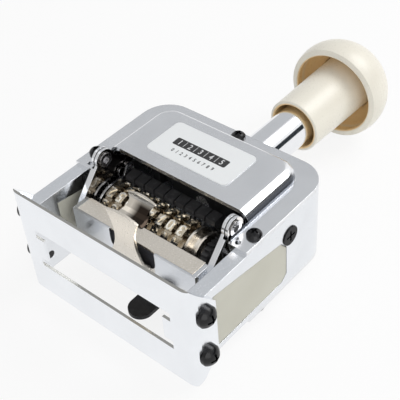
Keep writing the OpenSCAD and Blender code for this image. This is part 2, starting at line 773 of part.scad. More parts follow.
module feed_spring() {
    x0 = first_wheel_x + (wheels - 1) * wheel_pitch + wheel_w / 2 + 0.2;
    wire = 0.5;
    placed(steel) translate([0, shaft_at[0], shaft_at[1]]) rotate([0, 0, -90])
        wound_wire([0, 0, 0], shaft_r + 0.9, wire, x0, rocker_right_x - 0.2, 9);
}

// ---- Ink pad and its arms, turning about the pivot ----
function arm_point(along, across) = pivot + along * arm_dir + across * arm_nrm;
module cam_slot() {
    steps = 24;
    s_at = [for (i = [0:steps]) stroke * i / steps];
    polygon(concat(
        [for (s = s_at) pivot + pin_in_arm(s) + slot_half * pin_side(s)],
        [for (i = [0:steps]) pivot + pin_in_arm(s_at[steps - i]) - slot_half * pin_side(s_at[steps - i])]));
}
module pad_arm() {
    flange_w = 2.2;
    flange_t = 0.9;
    flange_start = eye_r + 0.5;
    flange_end = 19;
    web_end = 19.5;
    difference() {
        union() {
            bar_x(pivot, eye_r, arm_x, arm_out_x);
            along_x(arm_x, arm_out_x) polygon([
                arm_point(-1, arm_front), arm_point(web_end, arm_front), arm_point(web_end + 5, -1.5),
                arm_point(web_end + 2, -arm_back), arm_point(5, -arm_back), arm_point(0, -arm_back)]);
            along_x(arm_x, arm_x + flange_w) polygon([
                arm_point(flange_start, arm_front), arm_point(flange_end, arm_front),
                arm_point(flange_end, arm_front - flange_t), arm_point(flange_start, arm_front - flange_t)]);
            along_x(arm_x, arm_out_x) polygon([for (p = [
                [-2, -3], [2, 1.8], [5.4, -1.2], [12.4, -6.2],
                [13, -10.5], [9, -17.6], [3.6, -17.6], [0, -12]]) pivot + p]);
        }
        bar_x(pivot, rivet_r + slack, arm_x - 5, arm_out_x + 1);
        along_x(arm_x - 5, arm_out_x + 1) cam_slot();
        bar_x(pivot + pin_in_arm(0), slot_half, arm_x - 5, arm_out_x + 1);
        bar_x(pivot + pin_in_arm(stroke), slot_half, arm_x - 5, arm_out_x + 1);
    }
}
module pad_arm_left() {
    placed(chrome) mirror([1, 0, 0]) pad_arm();
}
module pad_arm_right() {
    placed(chrome) pad_arm();
}
module pad_tray() {
    notch = 10;
    notch_z = tray_top - 8;
    end_y = pad_face_y - 1.6;
    placed(chrome) difference() {
        along_x(-arm_x, arm_x) polygon(concat(
            arc([tray_face_y + 1.2, tray_low + 1.2], 1.2, 180, 270, 4),
            [[end_y, tray_low], [end_y, tray_top], [tray_face_y, tray_top]]));
        along_x(-cassette_x - slack, cassette_x + slack) polygon([
            [tray_face_y + tray_t, tray_low + tray_t], [end_y + 1, tray_low + tray_t],
            [end_y + 1, tray_top + 1], [tray_face_y + tray_t, tray_top + 1]]);
        along_y(tray_face_y - 1, tray_face_y + tray_t + eps) polygon(concat(
            arc([3 - notch, notch_z + 3], 3, 180, 270, 5), arc([notch - 3, notch_z + 3], 3, 270, 360, 5),
            [[notch, tray_top + 1], [-notch, tray_top + 1]]));
    }
}
cassette_x = arm_x - 1.6;
cassette_t = 0.9;
module pad_cassette() {
    y0 = tray_face_y + tray_t + slack;
    placed(nickel) difference() {
        along_x(-cassette_x, cassette_x) polygon([
            [y0, tray_low + tray_t + slack], [pad_face_y - 1.2, tray_low + tray_t + slack],
            [pad_face_y - 1.2, tray_top], [y0, tray_top]]);
        along_x(cassette_t - cassette_x, cassette_x - cassette_t) polygon([
            [y0 - 1, tray_low + tray_t + cassette_t], [pad_face_y, tray_low + tray_t + cassette_t],
            [pad_face_y, tray_top - cassette_t], [y0 - 1, tray_top - cassette_t]]);
    }
}
module ink_pad() {
    side = slack;
    placed(black) along_x(cassette_t - cassette_x + side, cassette_x - cassette_t - side)
        polygon([
            [tray_face_y + tray_t + slack, tray_low + tray_t + cassette_t + side],
            [pad_face_y, tray_low + tray_t + cassette_t + side], [pad_face_y, tray_top - cassette_t - side],
            [tray_face_y + tray_t + slack, tray_top - cassette_t - side]]);
}
// Half-waisted outline, wide at the crest and the foot
function waisted(crest, waist, foot, z0, z1, bulge) = concat(
    [for (t = [0:0.1:1]) [foot + (waist - foot) * sin(90 * t), z0 + (z1 - z0) * 0.55 * t]],
    [for (t = [0.1:0.1:1]) [crest - (crest - waist) * cos(90 * t), z0 + (z1 - z0) * (0.55 + 0.45 * t)]],
    [for (t = [0.2:0.2:1]) [crest * (1 - t), z1 + bulge * sin(90 * t)]]);
module waisted_outline(crest, waist, foot, z0, z1, bulge) {
    half = waisted(crest, waist, foot, z0, z1, bulge);
    last = len(half) - 1;
    polygon(concat(half, [for (i = [1:last]) [-half[last - i][0], half[last - i][1]]]));
}
module finger_tab() {
    y = tray_face_y - 2.5;
    tab_t = 1;
    foot_z = 25;
    crest_z = 43.2;
    placed(nickel) intersection() {
        along_x(-12, 12) polygon([
            [y, foot_z], [y + 1.5, foot_z - 1.5], [y + 1.5, tray_low + 1.5], [tray_face_y, tray_low + 1.5],
            [tray_face_y, foot_z - 0.8], [y + tab_t, foot_z + 0.7], [y + tab_t, 50], [y, 50]]);
        along_y(y - 1, tray_face_y + 1) union() {
            waisted_outline(6.8, 4.35, 8.4, foot_z - 2, crest_z, 1.3);
            polygon([[-8.4, tray_low], [8.4, tray_low], [8.4, foot_z - 1.9], [-8.4, foot_z - 1.9]]);
        }
    }
}
// Waisted sheet that leans from the cassette over the wheels
module cassette_guard() {
    centre_x = -7.4;
    bend = [pad_face_y - 1.2 + 0.2, tray_top + 7.7];
    r = 7.7;
    t = 0.7;
    placed(nickel) intersection() {
        along_x(centre_x - 12, centre_x + 12) polygon(concat(
            arc(bend, r, 262, 344, 12), arc(bend, r - t, 344, 262, 12)));
        translate([centre_x, 0, 0]) along_y(pad_face_y - 4, axle_y + 4)
            waisted_outline(6.4, 4.6, 8.4, tray_top - 1, tray_top + 4.6, 1);
    }
}

// ---- Repeat selector behind the wheels ----
lever_at = [6.5, 36];
lever_z = body_low + 0.3;
lever_t = 1.5;
lever_shank_r = 1.5;
module repeat_lever() {
    tip_y = 9.4;
    half = 4.5;
    placed(black) difference() {
        union() {
            translate([lever_at[0], lever_at[1], lever_z]) cylinder(h = lever_t, r = half);
            along_z(lever_z, lever_z + lever_t) polygon([
                [lever_at[0] - half, tip_y], [lever_at[0] + half, tip_y],
                [lever_at[0] + half, lever_at[1]], [lever_at[0] - half, lever_at[1]]]);
            translate([lever_at[0], tip_y, lever_z]) cylinder(h = lever_t, r = half);
        }
        translate([lever_at[0], lever_at[1], lever_z - 1])
            cylinder(h = lever_t + 2, r = lever_shank_r + slack);
    }
}
module lever_rivet() {
    head_r = 2.8;
    head_t = 1;
    under = body_low - cover_t;
    placed(steel) translate([lever_at[0], lever_at[1], under - head_t]) {
        cylinder(h = head_t, r = head_r);
        cylinder(h = lever_z + lever_t - under + head_t, r = lever_shank_r);
    }
}

base_plate();
body_casting();
front_cover();
back_cover();
side_panel_left();
side_panel_right();
label_plate();
guide_tube();
tube_nut();
guide_bush();
return_spring();
flange_screws();
front_cover_screws();
back_cover_screws();
side_screws();
arm_bracket_left();
arm_bracket_right();
arm_rivets();
knob();
knob_sleeve();
plunger_stem();
spring_washer();
carriage_plate_left();
carriage_plate_right();
carriage_block();
wheel_axle();
axle_spacers();
cam_pins();
detent_comb();
wheel_1();
wheel_2();
wheel_3();
wheel_4();
wheel_5();
wheel_6();
wheel_7();
wheel_8();
repeat_spool();
repeat_ratchet();
feed_rocker();
feed_shaft();
feed_pawl();
feed_spring();
pad_arm_left();
pad_arm_right();
pad_tray();
pad_cassette();
ink_pad();
finger_tab();
cassette_guard();
repeat_lever();
lever_rivet();
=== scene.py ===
# %% [markdown]
# # Dressing a numbering machine
# The machine is already built as a CAD model: a plated body with a framed print window, a sprung
# plunger with a mushroom knob, eight number wheels and an ink pad on two swinging arms.
# Here it gets its finishes, its raised figures, its inked felt, a wound return spring and its label
# print. Nothing that the CAD model holds is moved, so every new piece takes its place from the boxes
# of the CAD pieces.

# %% Load the fixed frame
import math

import bmesh
import bpy
from mathutils import Matrix, Quaternion, Vector


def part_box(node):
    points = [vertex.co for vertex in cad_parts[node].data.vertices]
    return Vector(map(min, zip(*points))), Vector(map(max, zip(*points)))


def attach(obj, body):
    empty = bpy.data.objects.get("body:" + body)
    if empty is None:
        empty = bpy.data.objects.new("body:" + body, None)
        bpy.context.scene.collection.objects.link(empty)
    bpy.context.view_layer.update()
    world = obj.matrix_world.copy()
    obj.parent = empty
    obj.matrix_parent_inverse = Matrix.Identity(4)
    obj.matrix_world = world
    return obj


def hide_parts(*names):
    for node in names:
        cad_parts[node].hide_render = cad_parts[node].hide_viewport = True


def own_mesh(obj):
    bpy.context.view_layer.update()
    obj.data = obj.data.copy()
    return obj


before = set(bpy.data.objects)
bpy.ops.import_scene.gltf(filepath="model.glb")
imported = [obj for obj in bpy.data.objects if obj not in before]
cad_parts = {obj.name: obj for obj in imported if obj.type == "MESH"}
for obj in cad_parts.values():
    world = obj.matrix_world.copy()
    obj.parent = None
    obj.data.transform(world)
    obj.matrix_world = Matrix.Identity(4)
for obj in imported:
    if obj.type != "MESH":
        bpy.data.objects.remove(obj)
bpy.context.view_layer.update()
mm = 0.001
print("CAD nodes:", len(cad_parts))

# %% [markdown]
# ## The camera
# A small product is photographed from above and to one side with a long lens, so that its lines stay
# nearly parallel. A Track To constraint would aim the camera too, but the picture is also rolled a
# little. A quaternion does both: one turn looks from the camera's place to a point between the wheels
# and the window, and a second small turn rolls the picture level with the machine.

# %% Set up the camera
camera_place = Vector((0.15762, -0.19327, 0.22838))
looked_at = Vector((-0.00307, -0.02435, 0.02))
camera_roll = math.radians(-4.9)
lens_mm = 79.16
film_mm = 36

lens = bpy.data.cameras.new("studio_camera")
lens.lens = lens_mm
lens.sensor_width = film_mm
camera = bpy.data.objects.new("studio_camera", lens)
camera.location = camera_place
camera.rotation_mode = "QUATERNION"
aim = (looked_at - camera_place).to_track_quat("-Z", "Y")
camera.rotation_quaternion = aim @ Quaternion((0, 0, 1), camera_roll)
bpy.context.scene.collection.objects.link(camera)
bpy.context.scene.camera = camera
print("camera distance in mm:", round((looked_at - camera_place).length / mm))

# %% [markdown]
# ## Small helpers for procedural finishes
# No real surface is even: plating is handled, brushed and scratched, and plastic keeps the texture
# of its mould. Photographs of such surfaces would need to be unwrapped onto every piece, so every
# finish here is a Principled shader with noise behind it instead. All patterns read Object
# coordinates, so they are fixed to the piece in metres and keep their scale. The bump starts from a
# Bevel node, which rounds the normals of sharp edges, because real edges are never quite sharp, and
# the light line along them tells the eye that a part is made of metal.

# %% Helpers for finishes
def new_finish(name, colour, metallic=0.0, roughness=0.5):
    """A material with one Principled shader."""
    material = bpy.data.materials.new(name)
    material.use_nodes = True
    tree = material.node_tree
    shader = tree.nodes["Principled BSDF"]
    shader.inputs["Base Color"].default_value = (*colour, 1)
    shader.inputs["Metallic"].default_value = metallic
    shader.inputs["Roughness"].default_value = roughness
    return material, tree, shader


def noise(tree, size, detail, stretch=(1, 1, 1), seed=0.0):
    """Noise whose features are about size metres across, drawn out along an axis by stretch."""
    where = tree.nodes.new("ShaderNodeTexCoord")
    placed = tree.nodes.new("ShaderNodeMapping")
    placed.inputs["Location"].default_value = (seed, seed, seed)
    placed.inputs["Scale"].default_value = [1 / s for s in stretch]
    made = tree.nodes.new("ShaderNodeTexNoise")
    made.inputs["Scale"].default_value = 1 / size
    made.inputs["Detail"].default_value = detail
    tree.links.new(where.outputs["Object"], placed.inputs["Vector"])
    tree.links.new(placed.outputs["Vector"], made.inputs["Vector"])
    return made.outputs["Fac"]


def spread(tree, value, low, high, start=0.3, end=0.7):
    """The value, remapped from start and end to low and high."""
    made = tree.nodes.new("ShaderNodeMapRange")
    made.inputs["From Min"].default_value = start
    made.inputs["From Max"].default_value = end
    made.inputs["To Min"].default_value = low
    made.inputs["To Max"].default_value = high
    tree.links.new(value, made.inputs["Value"])
    return made.outputs["Result"]


def blended(tree, share, first, second):
    """A colour between two tints."""
    made = tree.nodes.new("ShaderNodeMix")
    made.data_type = "RGBA"
    made.inputs["A"].default_value = (*first, 1)
    made.inputs["B"].default_value = (*second, 1)
    tree.links.new(share, made.inputs["Factor"])
    return made.outputs["Result"]


def bumped(tree, shader, height, depth, strength, edge):
    """Turns a height into a bump depth metres deep, over edges that are eased by edge metres."""
    bump = tree.nodes.new("ShaderNodeBump")
    bump.inputs["Strength"].default_value = strength
    bump.inputs["Distance"].default_value = depth
    tree.links.new(height, bump.inputs["Height"])
    if edge > 0:
        eased = tree.nodes.new("ShaderNodeBevel")
        eased.samples = 4
        eased.inputs["Radius"].default_value = edge
        tree.links.new(eased.outputs["Normal"], bump.inputs["Normal"])
    tree.links.new(bump.outputs["Normal"], shader.inputs["Normal"])


print("finish helpers: a new finish, noise, a remap, a blend of tints and a bump")

# %% [markdown]
# ## Plated and bare metals
# The machine is mostly plated steel and zinc. What sets the finishes apart is their grain: the cover
# is softly brushed, the casting is satin, the tube is polished mirror bright, the pad's arms and tray
# a little less so, and the wheels are a warm nickel. Each could have a node tree of its own, but then
# they would hardly look like parts of one machine. One recipe serves them all: a tint that drifts
# between clean and tarnished, a roughness broken by scratches, and a fine bump.

# %% The metal recipe
smudge_size = 12 * mm
smudge_seed = 3.1
smudge_range = (0.35, 0.75)
scratch_strength = 0.35


def metal(name, clean, tarnished, gloss, grain, stretch=(1, 1, 1), depth=0.01 * mm, edge=0.25 * mm):
    """A metal from its clean and tarnished tints, its two roughnesses and its grain in metres."""
    material, tree, shader = new_finish(name, clean, metallic=1.0)
    smudges = noise(tree, smudge_size, detail=5, seed=smudge_seed)
    scratches = noise(tree, grain, detail=6, stretch=stretch)
    tint = blended(tree, spread(tree, smudges, 0, 1, *smudge_range), clean, tarnished)
    tree.links.new(tint, shader.inputs["Base Color"])
    tree.links.new(spread(tree, scratches, *gloss), shader.inputs["Roughness"])
    bumped(tree, shader, scratches, depth, scratch_strength, edge)
    return material


print("smudges in mm:", round(smudge_size / mm))

# %% Chrome and satin zinc
mirror_chrome = metal(
    "mirror_chrome", clean=(0.88, 0.89, 0.91), tarnished=(0.84, 0.85, 0.87),
    gloss=(0.05, 0.09), grain=1.2 * mm, depth=0.002 * mm,
)
brushed_cover = metal(
    "brushed_cover", clean=(0.86, 0.87, 0.89), tarnished=(0.80, 0.81, 0.83),
    gloss=(0.20, 0.24), grain=0.3 * mm, stretch=(1, 40, 1), depth=0.001 * mm,
)
satin_casting = metal(
    "satin_casting", clean=(0.85, 0.87, 0.90), tarnished=(0.80, 0.82, 0.85),
    gloss=(0.20, 0.28), grain=0.6 * mm, depth=0.005 * mm,
)
pale_plate = metal(
    "pale_plate", clean=(0.90, 0.92, 0.95), tarnished=(0.86, 0.88, 0.91),
    gloss=(0.14, 0.22), grain=0.9 * mm, depth=0.005 * mm, edge=0.1 * mm,
)
arm_chrome = metal(
    "arm_chrome", clean=(0.88, 0.89, 0.91), tarnished=(0.80, 0.81, 0.83),
    gloss=(0.08, 0.14), grain=1.2 * mm, depth=0.002 * mm,
)
tray_chrome = metal(
    "tray_chrome", clean=(0.80, 0.81, 0.83), tarnished=(0.74, 0.75, 0.77),
    gloss=(0.15, 0.21), grain=1.2 * mm, depth=0.002 * mm,
)
bright = (mirror_chrome, brushed_cover, satin_casting, pale_plate, arm_chrome, tray_chrome)
print("bright finishes:", [finish.name for finish in bright])

# %% Nickel, steel and brass
guard_nickel = metal(
    "guard_nickel", clean=(0.80, 0.74, 0.65), tarnished=(0.70, 0.64, 0.55),
    gloss=(0.07, 0.12), grain=0.7 * mm, depth=0.001 * mm,
)
warm_nickel = metal(
    "warm_nickel", clean=(0.88, 0.82, 0.73), tarnished=(0.82, 0.76, 0.67),
    gloss=(0.24, 0.28), grain=0.7 * mm, depth=0.001 * mm,
)
wheel_nickel = metal(
    "wheel_nickel", clean=(0.62, 0.55, 0.44), tarnished=(0.46, 0.40, 0.31),
    gloss=(0.18, 0.30), grain=0.6 * mm, depth=0.002 * mm, edge=0.1 * mm,
)
figure_nickel = metal(
    "figure_nickel", clean=(0.95, 0.92, 0.84), tarnished=(0.88, 0.84, 0.75),
    gloss=(0.20, 0.30), grain=0.5 * mm, depth=0.002 * mm, edge=0,
)
bare_steel = metal(
    "bare_steel", clean=(0.60, 0.60, 0.62), tarnished=(0.46, 0.45, 0.45),
    gloss=(0.18, 0.34), grain=0.6 * mm,
)
spring_steel = metal(
    "spring_steel", clean=(0.50, 0.50, 0.52), tarnished=(0.36, 0.35, 0.35),
    gloss=(0.22, 0.36), grain=0.6 * mm,
)
turned_brass = metal(
    "turned_brass", clean=(0.75, 0.58, 0.27), tarnished=(0.58, 0.43, 0.19),
    gloss=(0.18, 0.32), grain=0.6 * mm,
)
warmer = (guard_nickel, warm_nickel, wheel_nickel, figure_nickel, bare_steel, spring_steel, turned_brass)
print("warm and bare finishes:", [finish.name for finish in warmer])

# %% [markdown]
# ## Painted dark reflections and shade on the metal
# Polished metal is as dark as what it mirrors. Dark cards round the machine would darken every face
# that looks their way, so dark reflections are painted on instead, as tints that are laid on in a
# chosen place and touch nothing else. A place is chosen by where a face looks or by where a point
# lies: painted dark reflections on the top face of the base plate, the flat webs of the pad arms, the
# upright sides of the cover's raised part, the right half of the cassette guard and the left end of
# the pad tray, and old ink with painted shade on the wheels near their axle. The price is that these
# painted places stay dark from every side.

# %% Helpers that choose a place
def middle(node):
    """The middle of a CAD piece's box."""
    low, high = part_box(node)
    return (low + high) / 2


def from_axis(tree, axis, centre):
    """How far a point is from the line through centre along axis 0, 1 or 2."""
    where = tree.nodes.new("ShaderNodeTexCoord")
    placed = tree.nodes.new("ShaderNodeMapping")
    placed.inputs["Location"].default_value = [0 if i == axis else -centre[i] for i in range(3)]
    placed.inputs["Scale"].default_value = [0 if i == axis else 1 for i in range(3)]
    length = tree.nodes.new("ShaderNodeVectorMath")
    length.operation = "LENGTH"
    tree.links.new(where.outputs["Object"], placed.inputs["Vector"])
    tree.links.new(placed.outputs["Vector"], length.inputs[0])
    return length.outputs["Value"]


def along(tree, axis):
    """A point's place along axis 0, 1 or 2."""
    where = tree.nodes.new("ShaderNodeTexCoord")
    split = tree.nodes.new("ShaderNodeSeparateXYZ")
    tree.links.new(where.outputs["Object"], split.inputs["Vector"])
    return split.outputs[axis]


def facing(tree, axis):
    """How squarely a face looks along axis 0, 1 or 2, either way: 1 square on, 0 edge on."""
    where = tree.nodes.new("ShaderNodeTexCoord")
    split = tree.nodes.new("ShaderNodeSeparateXYZ")
    size = tree.nodes.new("ShaderNodeMath")
    size.operation = "ABSOLUTE"
    tree.links.new(where.outputs["Normal"], split.inputs["Vector"])
    tree.links.new(split.outputs[axis], size.inputs[0])
    return size.outputs["Value"]


def both(tree, first, second):
    """The product of two shares."""
    made = tree.nodes.new("ShaderNodeMath")
    made.operation = "MULTIPLY"
    tree.links.new(first, made.inputs[0])
    tree.links.new(second, made.inputs[1])
    return made.outputs["Value"]


def tinted_where(material, share, tint):
    """Lays a tint over a finish, as much as share says."""
    tree = material.node_tree
    colour = tree.nodes["Principled BSDF"].inputs["Base Color"]
    over = tree.nodes.new("ShaderNodeMix")
    over.data_type = "RGBA"
    over.inputs["B"].default_value = (*tint, 1)
    tree.links.new(colour.links[0].from_socket, over.inputs["A"])
    tree.links.new(share, over.inputs["Factor"])
    tree.links.new(over.outputs["Result"], colour)


plunger_axis = middle("guide_tube")
print("the plunger axis runs along Y at height", round(plunger_axis.z / mm, 1), "mm")

# %% Paint dark reflections on faces by where they look
square_on = (0.8, 0.95)
# painted dark reflection on the base plate's up-facing faces
plate_shade = (0.47, 0.46, 0.43)
# painted dark reflection on the flat webs of the pad arms
web_shade = (0.22, 0.21, 0.20)
plate_tree = pale_plate.node_tree
top_face = spread(plate_tree, facing(plate_tree, 2), 0, 1, *square_on)
tinted_where(pale_plate, top_face, plate_shade)
arm_tree = arm_chrome.node_tree
webs = spread(arm_tree, facing(arm_tree, 0), 0, 1, *square_on)
tinted_where(arm_chrome, webs, web_shade)

upright = (0.66, 0.84)
raised_half_w = (36 * mm, 37.5 * mm)
# painted dark reflection on the upright sides of the cover's raised part
raised_shade = (0.12, 0.13, 0.15)
cover_tree = brushed_cover.node_tree
sideways = spread(cover_tree, facing(cover_tree, 0), 0, 1, *upright)
inboard = spread(cover_tree, from_axis(cover_tree, 1, plunger_axis), 1, 0, *raised_half_w)
tinted_where(brushed_cover, both(cover_tree, sideways, inboard), raised_shade)
print("the cover's darker sides lie within", round(raised_half_w[1] / mm, 1), "mm of the axis")

# %% Paint dark reflections and shade on places by where they lie
# painted dark reflection on the right half of the cassette guard, under its rim
guard_shade = (0.035, 0.026, 0.020)
guard_x = middle("cassette_guard").x
guard_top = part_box("cassette_guard")[1].z
fade_x = (guard_x - 2.6 * mm, guard_x + 0.8 * mm)
fade_z = (guard_top - 3.0 * mm, guard_top - 0.9 * mm)
guard_tree = guard_nickel.node_tree
right_half = spread(guard_tree, along(guard_tree, 0), 0, 1, *fade_x)
under_rim = spread(guard_tree, along(guard_tree, 2), 1, 0, *fade_z)
tinted_where(guard_nickel, both(guard_tree, right_half, under_rim), guard_shade)

# painted dark reflection on the left end of the pad tray
tray_shade = (0.30, 0.30, 0.28)
tray_darkest = 0.85
tray_low_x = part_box("pad_tray")[0].x
tray_fade = (tray_low_x + 4 * mm, tray_low_x + 17 * mm)
tray_tree = tray_chrome.node_tree
left_end = spread(tray_tree, along(tray_tree, 0), tray_darkest, 0, *tray_fade)
tinted_where(tray_chrome, left_end, tray_shade)

# old ink in the wheels' hollows together with painted shade: the wheels grow darker towards the axle
ink_and_painted_shade = (0.13, 0.10, 0.07)
inky_and_shaded_to_clean = (5.5 * mm, 7.4 * mm)
for wheel_metal in (wheel_nickel, figure_nickel):
    wheel_tree = wheel_metal.node_tree
    off_axle = from_axis(wheel_tree, 0, middle("wheel_1"))
    inky_and_shaded = spread(wheel_tree, off_axle, 1, 0, *inky_and_shaded_to_clean)
    tinted_where(wheel_metal, inky_and_shaded, ink_and_painted_shade)
print("wheels fade from inky to clean at mm off the axle:", [round(r / mm, 1) for r in inky_and_shaded_to_clean])

# %% [markdown]
# ## Blackened parts
# The screws are blackened and polished, so they are nearly black with a clear highlight, which is
# fainter on the flat countersunk screws in the sides. The toothed blocks behind the wheels and the
# repeat lever are duller, and the blocks are worn paler. Blackened steel is still a metal, but under
# its oxide it mirrors faintly and without a tint, so a dark non-metal with a low specular level comes
# nearer. At the usual level a white studio would turn the black into grey.

# %% The black finishes
rub_size = 1.8 * mm
rub_range = (0.55, 0.8)
rub_paler = 2.2
rub_depth = 0.004 * mm
rub_strength = 0.3
black_edge = 0.08 * mm


def blackened(name, colour, gloss, shine):
    """Blackened steel with a dark shine and faint rubbed patches."""
    material, tree, shader = new_finish(name, colour)
    rubbed = noise(tree, rub_size, detail=5)
    tree.links.new(spread(tree, rubbed, *gloss), shader.inputs["Roughness"])
    worn = [c * rub_paler for c in colour]
    tint = blended(tree, spread(tree, rubbed, 0, 1, *rub_range), colour, worn)
    tree.links.new(tint, shader.inputs["Base Color"])
    shader.inputs["Specular IOR Level"].default_value = shine
    bumped(tree, shader, rubbed, rub_depth, rub_strength, black_edge)
    return material


jet = (0.004, 0.004, 0.005)
screw_black = blackened("screw_black", jet, gloss=(0.16, 0.26), shine=0.35)
flat_screw_black = blackened("flat_screw_black", jet, gloss=(0.16, 0.26), shine=0.12)
block_black = blackened("block_black", (0.046, 0.046, 0.048), gloss=(0.34, 0.5), shine=0.3)
lever_black = blackened("lever_black", (0.016, 0.016, 0.017), gloss=(0.34, 0.5), shine=0.25)
blacks = (screw_black, flat_screw_black, block_black, lever_black)
print("black finishes:", [finish.name for finish in blacks])

# %% [markdown]
# ## Moulded plastic, panels, label and felt
# The knob and its sleeve are thick cream mouldings. Light that has passed through cream plastic
# comes out amber. Subsurface scattering would do this by itself, but it is slow and noisy, so the
# hollow of the knob and the bore of the sleeve take an amber tint instead, laid on by how near a
# point is to the plunger axis. The side panels are a flat beige with a very fine spark-eroded
# texture, the label is a printed film, and the felt is nearly black with ink. All of them are a matt
# or glossy skin over one colour, so one recipe does for them too.

# %% The recipe for plastic and paper
drift_size = 20 * mm
drift_seed = 7.7
pore_strength = 0.3


def moulded(name, colour, warm, gloss, texture, depth, edge=0.3 * mm):
    """Moulded plastic: a faint drift of colour and a fine surface texture."""
    material, tree, shader = new_finish(name, colour)
    drift = noise(tree, drift_size, detail=2, seed=drift_seed)
    pores = noise(tree, texture, detail=3)
    tint = blended(tree, spread(tree, drift, 0, 1), colour, warm)
    tree.links.new(tint, shader.inputs["Base Color"])
    tree.links.new(spread(tree, pores, *gloss), shader.inputs["Roughness"])
    bumped(tree, shader, pores, depth, pore_strength, edge)
    return material


beige_panel = moulded(
    "beige_panel", (0.60, 0.59, 0.51), warm=(0.55, 0.54, 0.46),
    gloss=(0.42, 0.58), texture=0.3 * mm, depth=0.03 * mm,
)
label_film = moulded(
    "label_film", (0.86, 0.88, 0.89), warm=(0.84, 0.86, 0.87),
    gloss=(0.30, 0.42), texture=1.2 * mm, depth=0.01 * mm,
)
print_black = moulded(
    "print_black", (0.02, 0.02, 0.022), warm=(0.03, 0.03, 0.03),
    gloss=(0.4, 0.5), texture=1 * mm, depth=0.01 * mm,
)
print_white = moulded(
    "print_white", (0.85, 0.86, 0.88), warm=(0.8, 0.8, 0.82),
    gloss=(0.4, 0.5), texture=1 * mm, depth=0.01 * mm,
)
inked_felt = moulded(
    "inked_felt", (0.018, 0.018, 0.024), warm=(0.03, 0.03, 0.036),
    gloss=(0.7, 0.95), texture=0.5 * mm, depth=0.2 * mm,
)
flat_colours = (beige_panel, label_film, print_black, print_white, inked_felt)
print("plain finishes:", [finish.name for finish in flat_colours])

# %% Cream plastic with amber light painted inside
# painted light: the amber of light that has passed through the cream plastic
amber = (0.88, 0.62, 0.31)
amber_blur = 0.2 * mm


def cream_plastic(name):
    """The glossy cream of the knob and its sleeve."""
    return moulded(
        name, (0.86, 0.83, 0.73), warm=(0.84, 0.80, 0.70),
        gloss=(0.27, 0.29), texture=0.6 * mm, depth=0.001 * mm, edge=0,
    )


def paint_amber_light_inside(material, inner_r, deepest_y):
    """Paints the amber of light that has passed through the plastic on the inner faces of a round
    moulding, nearer than inner_r to the plunger axis.
    """
    tree = material.node_tree
    off_axis = from_axis(tree, 1, plunger_axis)
    near = spread(tree, off_axis, 1, 0, inner_r - amber_blur, inner_r + amber_blur)
    shallow = spread(tree, along(tree, 1), 1, 0, deepest_y - amber_blur, deepest_y + amber_blur)
    tinted_where(material, both(tree, near, shallow), amber)


knob_hollow_r = 17 * mm
sleeve_bore_r = 9.9 * mm
dome_t = 9 * mm
knob_plastic = cream_plastic("knob_plastic")
paint_amber_light_inside(knob_plastic, knob_hollow_r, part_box("knob")[1].y - dome_t)
sleeve_plastic = cream_plastic("sleeve_plastic")
paint_amber_light_inside(sleeve_plastic, sleeve_bore_r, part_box("knob_sleeve")[1].y)
print("amber within mm of the axis:", round(knob_hollow_r / mm, 1), "and", round(sleeve_bore_r / mm, 1))

# %% [markdown]
# ## Dressing the CAD pieces
# On the real machine each piece is plated, blackened or moulded before it is put together, so each
# CAD piece keeps its mesh and takes one finish in its material slot. The finishes could follow the
# record's material slots, but pieces of one slot look different here, such as the pad's arms and
# the tube, so the list goes by piece.

# %% Give every CAD piece its finish
wheel_names = sorted(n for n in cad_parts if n.startswith("wheel_") and n[6:].isdigit())
dressing = (
    (pale_plate, ["base_plate"]),
    (satin_casting, ["body_casting", "carriage_plate_left", "carriage_plate_right"]),
    (brushed_cover, ["front_cover", "back_cover"]),
    (mirror_chrome, ["guide_tube"]),
    (arm_chrome, ["arm_bracket_left", "arm_bracket_right", "pad_arm_left", "pad_arm_right"]),
    (tray_chrome, ["pad_tray"]),
    (guard_nickel, ["cassette_guard"]),
    (warm_nickel, ["pad_cassette", "finger_tab", "repeat_spool"]),
    (wheel_nickel, wheel_names),
    (bare_steel, ["tube_nut", "arm_rivets", "lever_rivet", "plunger_stem", "spring_washer"]),
    (bare_steel, ["wheel_axle", "axle_spacers", "cam_pins", "feed_rocker", "feed_shaft", "feed_pawl"]),
    (spring_steel, ["return_spring", "feed_spring"]),
    (turned_brass, ["guide_bush"]),
    (screw_black, ["flange_screws", "front_cover_screws", "back_cover_screws"]),
    (flat_screw_black, ["side_screws"]),
    (block_black, ["carriage_block", "detent_comb", "repeat_ratchet"]),
    (lever_black, ["repeat_lever"]),
    (knob_plastic, ["knob"]),
    (sleeve_plastic, ["knob_sleeve"]),
    (beige_panel, ["side_panel_left", "side_panel_right"]),
    (label_film, ["label_plate"]),
    (inked_felt, ["ink_pad"]),
)
dressed = {name: finish for finish, names in dressing for name in names}
for name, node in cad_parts.items():
    node.data.materials.clear()
    node.data.materials.append(dressed[name])
print("dressed", len(dressed), "pieces,", len(wheel_names), "of them number wheels")

# %% [markdown]
# ## Building pieces with bmesh
# Primitives and modifiers would leave each new piece with a place and a turn of its own. A bmesh is
# shaped by its operators where it stands, so the finished object can sit at the origin with its
# place in its mesh, as the CAD pieces do. This helper makes such an object and lets it ride on a
# body. A second one adds one bmesh to another, for pieces that are made of many like shapes.

# %% Helpers for new pieces
def new_piece(name, shape, finish, body, smooth=True):
    """An object from a bmesh, at the origin, riding on a body."""
    mesh = bpy.data.meshes.new(name)
    shape.to_mesh(mesh)
    shape.free()
    mesh.materials.append(finish)
    for face in mesh.polygons:
        face.use_smooth = smooth
    piece = bpy.data.objects.new(name, mesh)
    bpy.context.scene.collection.objects.link(piece)
    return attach(piece, body)


def add_to(whole, shape):
    """Adds one bmesh to another and frees it."""
    mesh = bpy.data.meshes.new("added")
    shape.to_mesh(mesh)
    shape.free()
    whole.from_mesh(mesh)
    bpy.data.meshes.remove(mesh)


